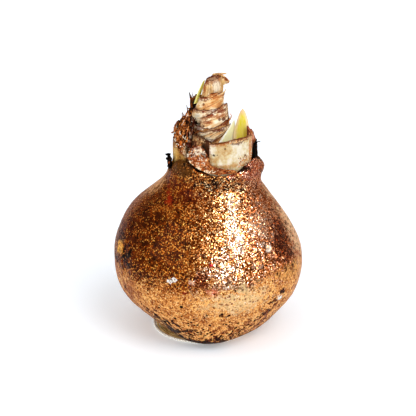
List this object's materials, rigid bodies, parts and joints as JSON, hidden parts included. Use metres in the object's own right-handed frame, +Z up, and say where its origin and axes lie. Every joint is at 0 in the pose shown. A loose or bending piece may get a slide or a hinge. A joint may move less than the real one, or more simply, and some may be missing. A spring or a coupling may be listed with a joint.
{
  "type": "waxed amaryllis bulb",
  "caption": "Sprouting amaryllis bulb in a glittering copper wax coat, with cut papery scales and young shoots at its neck, held upright on a flat coil of wire.",
  "frame": {"origin": "middle of the wire foot's underside, where the foot meets the surface it stands on", "axes": "+Z up through the bulb's neck, -Y towards the tall cut scale at the front, +X towards the shoot side, where the neck leans"},
  "size_m": [0.0929, 0.0937, 0.1296],
  "materials": {
    "wire": "satin",
    "wax": "gloss",
    "flesh": "matte",
    "cut_scale": "satin",
    "ochre_scale": "satin",
    "brown_paper": "matte",
    "tan_paper": "matte",
    "pale_paper": "matte",
    "tunic": "matte",
    "charred_skin": "matte",
    "young_leaf": "satin",
    "pale_leaf": "satin"
  },
  "bodies": {
    "root": {"wire_stand": "wire", "wax_coat": "wax", "bulb_body": "flesh", "scale_front": "cut_scale", "scale_left": "ochre_scale", "scale_back": "cut_scale", "scale_inner_back": "cut_scale", "scale_mid_left": "brown_paper", "collar_scale": "tan_paper", "tunic_left": "tunic", "tunic_right": "tunic", "tunic_back": "tunic", "skin_right": "charred_skin", "flake_left": "charred_skin", "sheath_wrap": "pale_paper", "sheath_low": "tan_paper", "sheath_middle": "pale_paper", "sheath_upper": "tan_paper", "sheath_top": "tan_paper", "shoot_right": "young_leaf", "shoot_wrap": "pale_leaf", "shoot_left": "young_leaf"}
  },
  "joints": []
}
